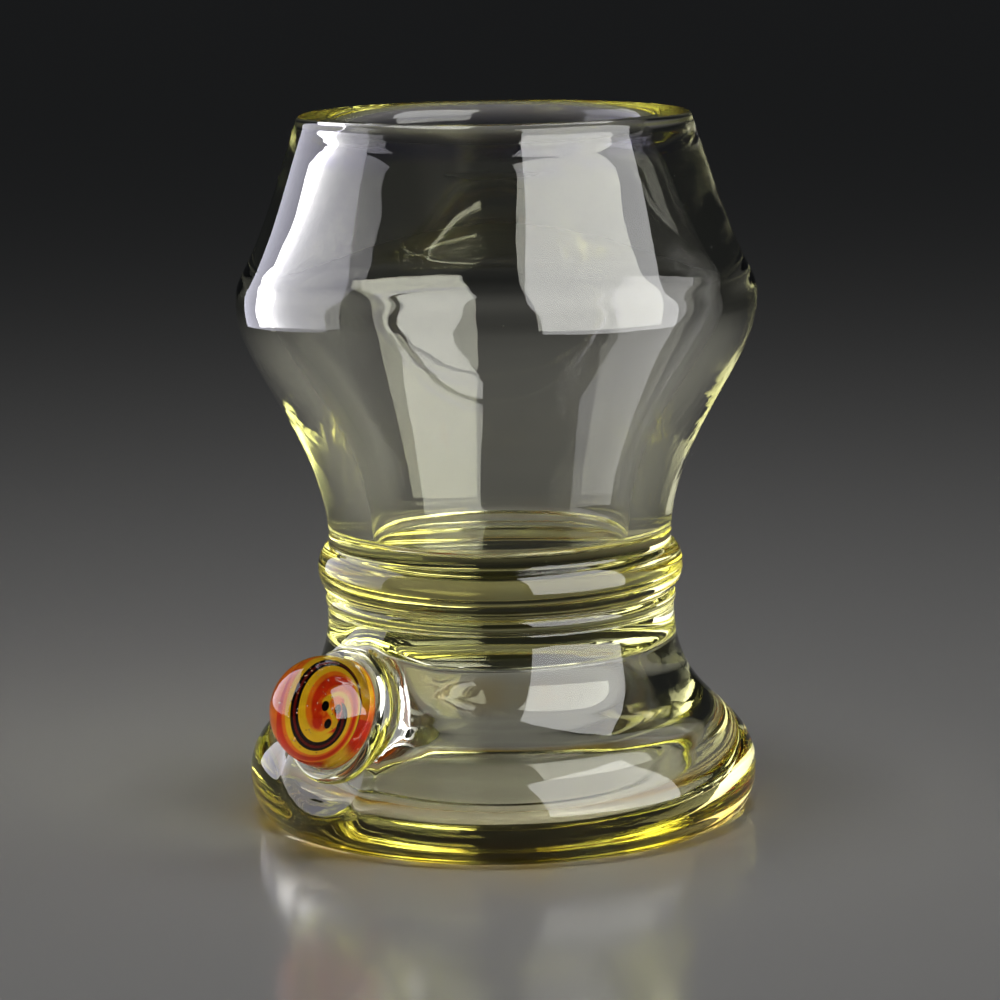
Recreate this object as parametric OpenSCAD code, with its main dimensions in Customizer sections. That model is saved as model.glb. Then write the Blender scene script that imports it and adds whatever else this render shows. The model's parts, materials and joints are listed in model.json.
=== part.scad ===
// Hand-made footed drinking glass: a heavy clear bowl with a wide shoulder, a rolled ring and
// a small bead at the waist, a hollow flared foot, and a domed swirl button sealed to the foot.
// Millimetres, +Z up. The origin is the middle of the face it stands on.

/* [Overall] */
// Height from the table to the top of the rim
overall_h = 120; // [114:1:150]
// Smoothness of round shapes
$fn = 96; // [48:8:144]

/* [Bowl] */
// Outside diameter at the rim
rim_d = 67.2; // [60:0.2:74]
// Outside diameter at the shoulder, the widest line of the bowl
shoulder_d = 88.6; // [80:0.2:108]
// Height of the lower bowl, from the top of the waist ring to the shoulder
belly_h = 41.3; // [34:0.1:50]
// Wall at the shoulder and up to the rim
bowl_wall = 5.6; // [4.5:0.1:7]
// Width of the fire-polished rim
rim_w = 6.7; // [5.8:0.1:8]
// Thickness of glass under the bowl's floor, down to its seam with the foot
bowl_floor_t = 9.4; // [8.8:0.1:12]
// Depth of the shallow dish in the bowl's floor
floor_dish = 1.5; // [0.5:0.1:3]

/* [Waist] */
// Outside diameter of the waist
waist_d = 58.8; // [54:0.2:68]
// Wall of the bowl at the waist
waist_wall = 7.3; // [6:0.1:9]
// Height of the rolled ring
ring_h = 8.2; // [6:0.1:10]
// How far the ring stands out from the waist
ring_bulge = 2; // [1:0.1:4]
// Height of the small bead under the ring
bead_h = 2.7; // [2:0.1:4]
// How far the bead stands out from the neck
bead_bulge = 0.8; // [0.4:0.1:2]
// Diameter of the seam on which the ring and the bead are wrapped
seam_d = 50; // [46:0.2:52]

/* [Foot] */
// Height of the foot, from the table to the underside of the bead
foot_h = 36; // [32:0.2:44]
// Widest diameter of the foot
foot_d = 87.6; // [82:0.2:106]
// Height of the foot's widest line
foot_edge_z = 7.3; // [5:0.1:9]
// Diameter of the flat ring that the foot stands on, at its outer edge
stand_d = 80; // [70:0.2:80]
// Diameter of the disc that closes the hollow foot
disc_d = 58; // [54:0.2:62]
// Thickness of that disc
disc_t = 4.9; // [3:0.1:6]
// Widest diameter of the hollow, just above the disc
hollow_d = 72; // [66:0.2:74]
// Wall of the neck, at the top of the hollow
neck_wall = 5.8; // [5:0.1:8]
// Thickness of glass over the hollow, up to the bead
crown_t = 1; // [0.5:0.1:4]

/* [Swirl button] */
// Diameter of the clear dome
dome_d = 18.6; // [15:0.1:20]
// Height of the button's middle above the table
button_z = 23.7; // [21:0.1:25]
// Level gap between the button's lower back edge and the foot's surface
button_gap = 1.06; // [0.8:0.02:2]
// Upward tilt of the button
button_tilt = 22; // [10:1:30]
// Direction the button faces, turned from +X
button_turn = 225; // [0:1:359]
// Diameter of the clear setting that holds the button to the foot
setting_d = 23.2; // [20:0.1:25]
// Diameter of the setting behind its lip, where it runs back into the foot
setting_neck_d = 18.8; // [17:0.1:19.8]
// Thickness of the swirl's coloured stripes
stripe_t = 1; // [0.6:0.1:1.4]
// Thickness of the coloured disc behind the stripes
backing_t = 0.8; // [0.5:0.1:1.2]
// Diameter of the three dots in the middle of the swirl
dot_d = 0.8; // [0.4:0.05:1]

/* [Hidden] */

clear_glass = [0.93, 0.93, 0.72, 0.5];
gold_glass = [0.92, 0.84, 0.3, 0.6];
yellow_glass = [0.9, 0.7, 0.1];
orange_glass = [0.95, 0.45, 0.05];
red_glass = [0.85, 0.15, 0.03];
maroon_glass = [0.35, 0.05, 0.05];
black_glass = [0.04, 0.03, 0.03];
amber_glass = [0.85, 0.45, 0.05];

// Radii and levels that several pieces share
rim_r = rim_d / 2;
shoulder_r = shoulder_d / 2;
waist_r = waist_d / 2;
seam_r = seam_d / 2;
neck_r = waist_r + 0.4;
foot_r = foot_d / 2;
stand_r = stand_d / 2;
disc_r = disc_d / 2;
bead_z = foot_h;
ring_z = bead_z + bead_h;
waist_z = ring_z + ring_h;
shoulder_z = waist_z + belly_h;
floor_z = ring_z + bowl_floor_t;

// Curve settings: points in each curve, and how far its ends run straight on
curve_steps = 10;
waist_lead = 18.5;
shoulder_lead = 10.7;
shoulder_turn = 5;
shoulder_drop = 1.1;
crown_slope = 0.52;
rim_slope = 0.35;
crown_lead = 0.35;
neck_lead = 18.5;
foot_lead = 11;
rim_round = 1.2;
lip_round = 2.4;
floor_round = 2;
hollow_rise = 4;
hollow_lead = 8;
hollow_neck_lead = 16;
crown_rise = 6;
crown_flat = 0.6;

// Points of a cubic curve from a to d, leaving towards b and arriving from c
function curve(a, b, c, d, n = curve_steps) =
    [for (i = [1 : n]) let (t = i / n, s = 1 - t)
        s * s * s * a + 3 * s * s * t * b + 3 * s * t * t * c + t * t * t * d];

// Points of an arc about a centre, in degrees from +X
function arc(centre, r, from, to, n = curve_steps) =
    [for (i = [1 : n]) let (a = from + (to - from) * i / n) centre + r * [cos(a), sin(a)]];

// Outside of the bowl, from its waist up to the rim
crown_z = shoulder_z + shoulder_turn;
crown_r = shoulder_r - shoulder_drop;
crown_run = (overall_h - crown_z) * crown_lead;
function bowl_outside() = concat(
    [[waist_r, waist_z]],
    curve([waist_r, waist_z], [waist_r, waist_z + waist_lead],
          [shoulder_r, shoulder_z - shoulder_lead], [shoulder_r, shoulder_z], 16),
    curve([shoulder_r, shoulder_z], [shoulder_r, shoulder_z + shoulder_turn / 2],
          [crown_r + crown_slope * shoulder_turn / 3, crown_z - shoulder_turn / 3],
          [crown_r, crown_z], 6),
    curve([crown_r, crown_z], [crown_r - crown_slope * crown_run, crown_z + crown_run],
          [rim_r + rim_slope * crown_run, overall_h - rim_round - crown_run],
          [rim_r, overall_h - rim_round]),
    arc([rim_r - rim_round, overall_h - rim_round], rim_round, 0, 90, 5));

// Inside of the bowl, from the rolled lip down to the middle of its floor
lip_r = rim_r - rim_w;
inner_rim_r = rim_r - bowl_wall;
inner_waist_r = waist_r - waist_wall;
inner_shoulder_r = shoulder_r - bowl_wall;
lip_h = 2 * lip_round;
function bowl_inside() = concat(
    arc([lip_r + lip_round, overall_h - lip_round], lip_round, 90, 180, 6),
    curve([lip_r, overall_h - lip_round], [lip_r, overall_h - lip_h],
          [inner_rim_r, overall_h - lip_h],
          [inner_rim_r + rim_slope * lip_h, overall_h - 2 * lip_h], 6),
    curve([inner_rim_r + rim_slope * lip_h, overall_h - 2 * lip_h],
          [inner_rim_r + rim_slope * (lip_h + crown_run / 2), overall_h - 2 * lip_h - crown_run / 2],
          [crown_r - bowl_wall - crown_slope * crown_run / 2, crown_z + crown_run / 2],
          [crown_r - bowl_wall, crown_z]),
    curve([crown_r - bowl_wall, crown_z],
          [inner_shoulder_r, crown_z - shoulder_turn / 2],
          [inner_shoulder_r, shoulder_z + shoulder_turn / 3],
          [inner_shoulder_r, shoulder_z], 6),
    curve([inner_shoulder_r, shoulder_z], [inner_shoulder_r, shoulder_z - shoulder_lead],
          [inner_waist_r, floor_z + floor_round + waist_lead],
          [inner_waist_r, floor_z + floor_round], 16),
    arc([inner_waist_r - floor_round, floor_z + floor_round], floor_round, 0, -90, 6),
    curve([inner_waist_r - floor_round, floor_z],
          [inner_waist_r / 2, floor_z - floor_dish],
          [inner_waist_r / 3, floor_z - floor_dish], [0, floor_z - floor_dish], 6));

// Outside of the foot, from the neck down to the ring it stands on
function foot_outside() = concat(
    [[neck_r, foot_h]],
    curve([neck_r, foot_h], [neck_r, foot_h - neck_lead],
          [foot_r, foot_edge_z + foot_lead], [foot_r, foot_edge_z], 16),
    curve([foot_r, foot_edge_z], [foot_r, foot_edge_z / 2],
          [(foot_r + stand_r) / 2, 0], [stand_r, 0], 8));

// Radius of the foot's outside at a height
function foot_radius(z) = lookup(z, [for (p = foot_outside()) [p[1], p[0]]]);

// Hollow of the foot, from the disc's seat round its widest line and up to its crown
hollow_top = foot_h - crown_t;
hollow_r = neck_r - neck_wall;
hollow_neck_z = hollow_top - crown_rise;
wide_r = hollow_d / 2;
wide_z = disc_t + hollow_rise;
function foot_hollow() = concat(
    [[disc_r, disc_t]],
    curve([disc_r, disc_t], [(disc_r + wide_r) / 2, disc_t],
          [wide_r, disc_t + hollow_rise / 2], [wide_r, wide_z], 8),
    curve([wide_r, wide_z], [wide_r, wide_z + hollow_lead],
          [hollow_r, hollow_neck_z - hollow_neck_lead], [hollow_r, hollow_neck_z], 14),
    curve([hollow_r, hollow_neck_z], [hollow_r, hollow_top - crown_rise / 6],
          [hollow_r * crown_flat, hollow_top], [0, hollow_top]));

// Half-round band wrapped on the seam, from level z up by h
module wrapped_band(z, h, root_r, bulge, shape = 0.62) {
    rotate_extrude()
        polygon(concat([[seam_r, z], [root_r, z]],
            curve([root_r, z], [root_r + bulge * 4 / 3, z + h * (1 - shape) / 2],
                  [root_r + bulge * 4 / 3, z + h * (1 + shape) / 2], [root_r, z + h], 14),
            [[seam_r, z + h]]));
}

module bowl() {
    color(clear_glass)
        rotate_extrude()
            polygon(concat([[0, ring_z], [seam_r, ring_z], [seam_r, waist_z]],
                bowl_outside(), bowl_inside()));
}

module waist_ring() {
    color(gold_glass)
        wrapped_band(ring_z, ring_h, waist_r, ring_bulge);
}

module neck_bead() {
    color(gold_glass)
        wrapped_band(bead_z, bead_h, neck_r - bead_bulge / 2, bead_bulge);
}

module foot_bell() {
    color(clear_glass)
        rotate_extrude()
            polygon(concat([[0, hollow_top], [0, ring_z], [seam_r, ring_z], [seam_r, foot_h]],
                foot_outside(), [[disc_r, 0]],
                [for (p = foot_hollow()) if (p[0] > 0) p]));
}

module foot_disc() {
    color(gold_glass)
        cylinder(h = disc_t, r = disc_r);
}

// Swirl button: its own frame stands on the dome's centre, +Z outwards and +X down the foot
dome_r = dome_d / 2;
dome_cut = 0.8;
pad_r = sqrt(dome_r * dome_r - dome_cut * dome_cut);
stripe_z = -dome_cut - stripe_t;
backing_z = stripe_z - backing_t;
setting_r = setting_d / 2;
setting_neck_r = setting_neck_d / 2;
setting_edge = 1.2;
setting_narrowing = 4.5;
setting_lip = 0.9;
lip_gap = 0.15;

// The lower back edge of the button clears the foot, and the setting runs back into its neck
back_edge_z = button_z - pad_r * cos(button_tilt) + backing_z * sin(button_tilt);
button_reach = foot_radius(back_edge_z) + button_gap
    - pad_r * sin(button_tilt) - backing_z * cos(button_tilt);
setting_depth = (button_reach - setting_r * sin(button_tilt) - hollow_r) / cos(button_tilt);

module on_button() {
    rotate([0, 0, button_turn])
        translate([button_reach, 0, button_z])
            rotate([0, 90 - button_tilt, 0])
                children();
}

module button_setting() {
    lip_in = pad_r + lip_gap;
    color(clear_glass)
        difference() {
            on_button()
                rotate_extrude()
                    polygon(concat([[0, -setting_depth], [0, backing_z], [lip_in, backing_z]],
                        curve([lip_in, backing_z], [lip_in + setting_lip / 2, backing_z + setting_lip],
                              [setting_r, backing_z + setting_lip],
                              [setting_r, backing_z - setting_edge], 8),
                        curve([setting_r, backing_z - setting_edge],
                              [setting_r, backing_z - 2 * setting_edge],
                              [setting_neck_r, backing_z - setting_narrowing],
                              [setting_neck_r, backing_z - setting_edge - setting_narrowing], 8),
                        [[setting_neck_r, -setting_depth]]));
            rotate_extrude()
                polygon(concat([[0, 0], [0, foot_h]], foot_outside()));
        }
}

// The swirl is drawn flat: stripes leave the heart like slices of a pie and wind round it, ever
// faster towards the amber ring. Directions run clockwise from the right of someone who faces the
// button, whose +X points down. Every edge is straight between marks, so the stripes, the heart
// and the ring share their corners.
swirl_r = 6.2;
heart_r = 1.9;
swirl_wind = 375;
swirl_power = 2.5;
swirl_phase = -68;
swirl_steps = 36;
rim_step = 6;
dot_ring_r = 1.05;
dot_count = 3;

// Where each stripe starts and ends round the heart, in degrees, all whole rim steps
inner_black = [0, 24];
maroon = [24, 60];
outer_black = [60, 84];
inner_yellow = [84, 150];
inner_orange = [150, 192];
red = [192, 270];
outer_orange = [270, 306];
outer_yellow = [306, 360];

function swirl_point(direction, r) = r * [sin(direction), cos(direction)];
function wound_r(turn) = swirl_r * pow(turn / swirl_wind, 1 / swirl_power);
heart_turn = swirl_wind * pow(heart_r / swirl_r, swirl_power);

// One edge of a stripe, from the rim of the heart to the rim of the swirl
function stripe_edge(start) =
    [for (i = [0 : swirl_steps])
        let (turn = heart_turn + (swirl_wind - heart_turn) * i / swirl_steps)
            swirl_point(swirl_phase + start + turn, wound_r(turn))];

// Marks round a rim after a stripe's start and before its end
function rim_marks(span, turn) =
    [for (a = [span[0] + rim_step : rim_step : span[1] - rim_step])
        swirl_point(swirl_phase + a + turn, wound_r(turn))];
function reversed(list) = [for (i = [len(list) - 1 : -1 : 0]) list[i]];

module flat_layer(outline) {
    translate([0, 0, stripe_z])
        linear_extrude(stripe_t)
            polygon(outline);
}

module stripe(span) {
    flat_layer(concat(stripe_edge(span[0]), rim_marks(span, swirl_wind),
        reversed(stripe_edge(span[1])), reversed(rim_marks(span, heart_turn))));
}

module dot_rods() {
    for (i = [0 : dot_count - 1])
        rotate(i * 360 / dot_count)
            translate([dot_ring_r, 0, stripe_z])
                cylinder(h = stripe_t, d = dot_d);
}

module swirl_backing() {
    color(amber_glass)
        on_button()
            translate([0, 0, backing_z])
                cylinder(h = backing_t, r = pad_r);
}

module swirl_amber_ring() {
    color(amber_glass)
        on_button()
            difference() {
                translate([0, 0, stripe_z])
                    cylinder(h = stripe_t, r = pad_r);
                flat_layer(rim_marks([0, 360 + rim_step], swirl_wind));
            }
}

module swirl_yellow_stripes() {
    color(yellow_glass)
        on_button() {
            stripe(inner_yellow);
            stripe(outer_yellow);
        }
}

module swirl_orange_stripes() {
    color(orange_glass)
        on_button() {
            stripe(inner_orange);
            stripe(outer_orange);
        }
}

module swirl_red_stripe() {
    color(red_glass)
        on_button()
            stripe(red);
}

module swirl_maroon_stripe() {
    color(maroon_glass)
        on_button()
            stripe(maroon);
}

module swirl_black_stripes() {
    color(black_glass)
        on_button() {
            stripe(inner_black);
            stripe(outer_black);
        }
}

module swirl_heart() {
    color(red_glass)
        on_button()
            difference() {
                flat_layer(rim_marks([0, 360 + rim_step], heart_turn));
                dot_rods();
            }
}

module swirl_dots() {
    color(black_glass)
        on_button()
            dot_rods();
}

module button_dome() {
    color(clear_glass)
        on_button()
            difference() {
                sphere(r = dome_r);
                translate([0, 0, -dome_r - dome_cut])
                    cylinder(h = dome_r, r = dome_d);
            }
}

bowl();
waist_ring();
neck_bead();
foot_bell();
foot_disc();
button_setting();
swirl_backing();
swirl_amber_ring();
swirl_yellow_stripes();
swirl_orange_stripes();
swirl_red_stripe();
swirl_maroon_stripe();
swirl_black_stripes();
swirl_heart();
swirl_dots();
button_dome();
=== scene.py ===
"""A hand-made footed drinking glass with a domed swirl button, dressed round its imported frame."""
import json
import logging
import math
from dataclasses import dataclass, field
from enum import Enum

import bmesh
import bpy
from mathutils import Matrix, Vector

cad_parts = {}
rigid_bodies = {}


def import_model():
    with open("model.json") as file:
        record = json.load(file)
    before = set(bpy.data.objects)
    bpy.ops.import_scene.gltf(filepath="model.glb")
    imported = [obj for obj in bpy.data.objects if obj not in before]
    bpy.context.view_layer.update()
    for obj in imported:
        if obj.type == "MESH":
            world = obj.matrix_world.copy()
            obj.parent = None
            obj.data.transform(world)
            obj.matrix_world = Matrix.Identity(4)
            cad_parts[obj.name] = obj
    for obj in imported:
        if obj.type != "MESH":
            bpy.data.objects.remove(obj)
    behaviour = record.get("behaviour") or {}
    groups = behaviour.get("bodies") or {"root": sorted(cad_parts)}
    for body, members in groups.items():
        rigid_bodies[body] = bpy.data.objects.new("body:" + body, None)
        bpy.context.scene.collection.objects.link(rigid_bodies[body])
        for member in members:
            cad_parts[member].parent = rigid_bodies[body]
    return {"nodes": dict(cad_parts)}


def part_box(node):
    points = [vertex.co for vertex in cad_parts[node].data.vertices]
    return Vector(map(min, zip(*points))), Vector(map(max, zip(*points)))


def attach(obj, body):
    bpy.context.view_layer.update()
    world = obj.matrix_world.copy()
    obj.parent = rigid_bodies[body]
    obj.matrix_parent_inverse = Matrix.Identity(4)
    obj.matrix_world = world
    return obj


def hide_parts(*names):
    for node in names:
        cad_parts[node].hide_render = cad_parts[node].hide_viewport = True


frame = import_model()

LOG = logging.getLogger("footed_glass")
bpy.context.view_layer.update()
MM = 0.001
BODY = "root"
SHARP_ANGLE = 60
WELD = 1e-7

Pair = tuple[float, float]
Colour = tuple[float, float, float]
Place = tuple[float, float, float]
Object = bpy.types.Object
Material = bpy.types.Material
Socket = bpy.types.NodeSocket
WHITE: Colour = (1.0, 1.0, 1.0)


class Lay(Enum):
    """How stripes lie, by the swirl field's output: wound up, or straight out from the middle."""

    WOUND = "Wound turn"
    STRAIGHT = "Direction"


def cubic(a: Pair, b: Pair, c: Pair, d: Pair, count: int = 24) -> list[Pair]:
    """Points of a cubic curve after its start.

    Args:
        a: Start of the curve.
        b: Point it leaves towards.
        c: Point it arrives from.
        d: End of the curve.
        count: Number of points.

    Returns:
        The points, the last of them d.
    """
    out = []
    for i in range(1, count + 1):
        t = i / count
        s = 1 - t
        out.append(tuple(s ** 3 * a[k] + 3 * s * s * t * b[k] + 3 * s * t * t * c[k] + t ** 3 * d[k]
                         for k in (0, 1)))
    return out


def arc(centre: Pair, radius: float, start: float, stop: float, count: int = 10) -> list[Pair]:
    """Points of an arc after its start.

    Args:
        centre: Middle of the arc.
        radius: Its radius.
        start: First angle, in degrees.
        stop: Last angle, in degrees.
        count: Number of points.

    Returns:
        The points in order.
    """
    turns = [math.radians(start + (stop - start) * i / count) for i in range(1, count + 1)]
    return [(centre[0] + radius * math.cos(a), centre[1] + radius * math.sin(a)) for a in turns]


def softened(points: list[Pair], step: float, reach: int) -> list[Pair]:
    """Rounds the creases of an outline, as the flame does.

    Args:
        points: The outline, whose ends stay where they are.
        step: Spacing of the even points that are averaged.
        reach: How many points either side each one is averaged with.

    Returns:
        Points at that even spacing, on the rounded outline.
    """
    even = [points[0]]
    left = step
    for p, q in zip(points, points[1:]):
        run = math.dist(p, q)
        at = left
        while at <= run:
            even.append((p[0] + (q[0] - p[0]) * at / run, p[1] + (q[1] - p[1]) * at / run))
            at += step
        left = at - run
    even.append(points[-1])
    out = []
    for i in range(len(even)):
        near = min(reach, i, len(even) - 1 - i)
        span = range(-near, near + 1)
        weights = [1 + math.cos(math.pi * k / (near + 1)) for k in span]
        total = sum(weights)
        out.append(tuple(sum(w * even[i + k][n] for w, k in zip(weights, span)) / total for n in (0, 1)))
    return out


@dataclass(frozen=True)
class JackRings:
    """The faint rings that the jacks leave in a wall, in millimetres, which fade out near the axis."""

    depth: float = 0.03
    waves: tuple[tuple[float, float, float], ...] = ((1.35, 0.0, 1.0), (2.3, 1.0, 0.7), (0.6, 0.0, 0.5))
    fade_radius: float = 25.0
    fade_width: float = 6.0

    def on(self, points: list[Pair]) -> list[Pair]:
        """Leaves the rings along an outline.

        Args:
            points: The outline, from the middle of its floor to the middle of its crown.

        Returns:
            The outline with its rings.
        """
        out = [points[0]]
        run = 0.0
        for p, q in zip(points, points[1:]):
            run += math.dist(p, q)
            rings = sum(share * math.sin(run * pace + phase) for pace, phase, share in self.waves)
            fade = min(1.0, max(0.0, (q[0] - self.fade_radius) / self.fade_width))
            out.append((q[0] + self.depth * rings * fade, q[1]))
        out[-1] = points[-1]
        return out


def thinned(points: list[Pair], turn: float, longest: float) -> list[Pair]:
    """Leaves out points where an outline runs nearly straight.

    Args:
        points: The outline.
        turn: Turn in degrees after which a point is kept.
        longest: Longest span between two kept points.

    Returns:
        The kept points, both ends among them.
    """
    kept = [points[0]]
    turned = 0.0
    for i in range(1, len(points) - 1):
        before = math.atan2(points[i][1] - points[i - 1][1], points[i][0] - points[i - 1][0])
        after = math.atan2(points[i + 1][1] - points[i][1], points[i + 1][0] - points[i][0])
        turned += abs(math.degrees(math.remainder(after - before, math.tau)))
        if turned >= turn or math.dist(kept[-1], points[i]) >= longest:
            kept.append(points[i])
            turned = 0.0
    return kept + [points[-1]]


class Net:
    """A node tree and the few ways in which it is wired here."""

    def __init__(self, tree: bpy.types.NodeTree) -> None:
        """Wraps a tree.

        Args:
            tree: The tree that nodes are added to.
        """
        self.tree = tree

    @classmethod
    def group(cls, name: str, kind: str, inputs: dict[str, tuple[str, object]],
              outputs: dict[str, str]) -> "Net":
        """Starts a node group.

        Args:
            name: The group's name.
            kind: Type of its tree.
            inputs: Kind of each input, such as Float, and what it is where nothing is joined to it.
            outputs: Kind of each output.

        Returns:
            The group's net.
        """
        tree = bpy.data.node_groups.new(name, kind)
        for label, (sort, value) in inputs.items():
            socket = tree.interface.new_socket(label, in_out="INPUT", socket_type="NodeSocket" + sort)
            if value is not None:
                socket.default_value = value
        for label, sort in outputs.items():
            tree.interface.new_socket(label, in_out="OUTPUT", socket_type="NodeSocket" + sort)
        return cls(tree)

    def node(self, kind: str, inputs: dict[str | int, object] | None = None,
             **settings: object) -> bpy.types.Node:
        """Adds a node.

        Args:
            kind: Its type.
            inputs: Socket, number or vector for its inputs, by name or place.
            **settings: Its properties.

        Returns:
            The node.
        """
        node = self.tree.nodes.new(kind)
        for name, setting in settings.items():
            setattr(node, name, setting)
        for key, value in (inputs or {}).items():
            if isinstance(value, Socket):
                self.tree.links.new(value, node.inputs[key])
            else:
                node.inputs[key].default_value = value
        return node

    def first(self, kind: str, inputs: dict[str | int, object] | None = None, **settings: object) -> Socket:
        """Adds a node as node() does, and gives its first output."""
        return self.node(kind, inputs, **settings).outputs[0]

    def math(self, operation: str, *values: object) -> Socket:
        """Adds a Math node that works on sockets or numbers, and gives its output."""
        return self.first("ShaderNodeMath", dict(enumerate(values)), operation=operation)

    def vector(self, operation: str, *values: object) -> Socket:
        """Adds a Vector Math node that works on sockets or vectors, and gives its output."""
        return self.first("ShaderNodeVectorMath", dict(enumerate(values)), operation=operation)

    def flat_length(self, vector: Socket) -> Socket:
        """Gives a vector's distance from the Z axis."""
        return self.node("ShaderNodeVectorMath", {0: self.vector("MULTIPLY", vector, (1, 1, 0))},
                         operation="LENGTH").outputs["Value"]

    def scaled(self, vector: Socket, share: Socket) -> Socket:
        """Scales a vector by a number."""
        return self.first("ShaderNodeVectorMath", {0: vector, "Scale": share}, operation="SCALE")

    def less(self, value: object) -> Socket:
        """Takes a value from 1."""
        return self.math("SUBTRACT", 1.0, value)

    def eased(self, value: object, start: float | object, stop: float | object) -> Socket:
        """Adds a smooth step from 0 to 1.

        Args:
            value: What is eased.
            start: Value at which the step leaves 0.
            stop: Value at which it reaches 1.

        Returns:
            The step.
        """
        return self.first("ShaderNodeMapRange", {"Value": value, "From Min": start, "From Max": stop},
                          interpolation_type="SMOOTHSTEP")

    def mixed(self, factor: object, a: object, b: object, blend: str = "MIX") -> Socket:
        """Mixes two colours.

        Args:
            factor: Share of the second.
            a: The first, as a socket or four numbers.
            b: The second.
            blend: How they mix.

        Returns:
            The mixed colour.
        """
        return self.node("ShaderNodeMix", {0: factor, 6: a, 7: b}, data_type="RGBA",
                         blend_type=blend).outputs[2]

    def noise(self, where: object, scale: float | object, detail: float = 1.0) -> Socket:
        """Adds a noise.

        Args:
            where: Its coordinates.
            scale: Its scale, per metre.
            detail: Number of finer layers.

        Returns:
            The noise, about a half.
        """
        return self.first("ShaderNodeTexNoise", {"Vector": where, "Scale": scale, "Detail": detail})

    def finish(self, geometry: Socket, material: Socket) -> None:
        """Ends a geometry tree in Realize Instances and Set Material.

        Args:
            geometry: What it puts out.
            material: The material it takes.
        """
        smooth = self.first("GeometryNodeSetShadeSmooth", {0: geometry})
        real = self.first("GeometryNodeRealizeInstances", {0: smooth})
        dressed = self.first("GeometryNodeSetMaterial", {"Geometry": real, "Material": material})
        self.node("NodeGroupOutput", {0: dressed})


class TurnedWall:
    """Geometry Nodes tree that turns an outline into a closed wall of glass round an axis."""

    WAVE_STRETCH = (1, 1, 0.45)

    def __init__(self) -> None:
        """Builds the tree once for all turned pieces."""
        net = Net.group("turned_wall", "GeometryNodeTree",
                        {"Outline": ("Geometry", None), "Segments": ("Int", 192), "Weld": ("Float", 1e-6),
                         "Waviness": ("Float", 0.0), "Wave scale": ("Float", 40.0), "Seed": ("Float", 3.0),
                         "Glass": ("Material", None)}, {"Wall": "Geometry"})
        self.net = net
        self.inputs = net.node("NodeGroupInput").outputs
        net.finish(self._wavy(self._turned()), self.inputs["Glass"])

    def _turned(self) -> Socket:
        """Bends a grid round the axis: its rows take the outline's points and its columns turn.

        Returns:
            The welded wall.
        """
        net, given = self.net, self.inputs
        count = net.node("GeometryNodeAttributeDomainSize",
                         {"Geometry": given["Outline"]}).outputs["Point Count"]
        columns = net.math("ADD", given["Segments"], 1.0)
        grid = net.node("GeometryNodeMeshGrid", {"Vertices X": count, "Vertices Y": columns}).outputs["Mesh"]
        index = net.math("ADD", net.first("GeometryNodeInputIndex"), 0.5)
        row = net.math("FLOOR", net.math("DIVIDE", index, columns))
        column = net.math("FLOOR", net.math("SUBTRACT", index, net.math("MULTIPLY", row, columns)))
        position = net.first("GeometryNodeInputPosition")
        place = net.first("GeometryNodeSampleIndex",
                          {"Geometry": given["Outline"], "Value": position, "Index": row},
                          data_type="FLOAT_VECTOR")
        angle = net.math("DIVIDE", net.math("MULTIPLY", column, math.tau), given["Segments"])
        turned = net.first("ShaderNodeVectorRotate", {"Vector": place, "Angle": angle},
                           rotation_type="Z_AXIS")
        bent = net.first("GeometryNodeSetPosition", {"Geometry": grid, "Position": turned})
        return net.first("GeometryNodeMergeByDistance", {"Geometry": bent, "Distance": given["Weld"]})

    def _wavy(self, wall: Socket) -> Socket:
        """Draws the wall in a little here and there, as hand-worked glass is.

        Args:
            wall: The turned wall.

        Returns:
            The wavy wall.
        """
        net, given = self.net, self.inputs
        position = net.first("GeometryNodeInputPosition")
        waves = net.first("ShaderNodeTexNoise",
                          {"Vector": net.vector("MULTIPLY", position, self.WAVE_STRETCH), "W": given["Seed"],
                           "Scale": given["Wave scale"], "Detail": 1.0}, noise_dimensions="4D")
        outward = net.vector("NORMALIZE", net.vector("MULTIPLY", position, (1, 1, 0)))
        inward = net.math("MULTIPLY", net.math("MULTIPLY", waves, given["Waviness"]), -1.0)
        return net.first("GeometryNodeSetPosition", {"Geometry": wall, "Offset": net.scaled(outward, inward)})

    def make(self, name: str, outline: list[Pair], glass: Material, **values: float) -> Object:
        """Turns one outline.

        Args:
            name: The piece's name.
            outline: Radius and height of each point, in millimetres.
            glass: Material of the wall.
            **values: Other inputs of the tree, by name with _ for a space.

        Returns:
            A plain mesh object at the origin, with its faces outwards.
        """
        line = bpy.data.meshes.new(name + "_outline")
        line.from_pydata([(r * MM, 0, z * MM) for r, z in outline],
                         [(i, i + 1) for i in range(len(outline) - 1)], [])
        return grown(added(name + "_outline", line), name, self.net.tree, {"Glass": glass} | values)


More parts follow.
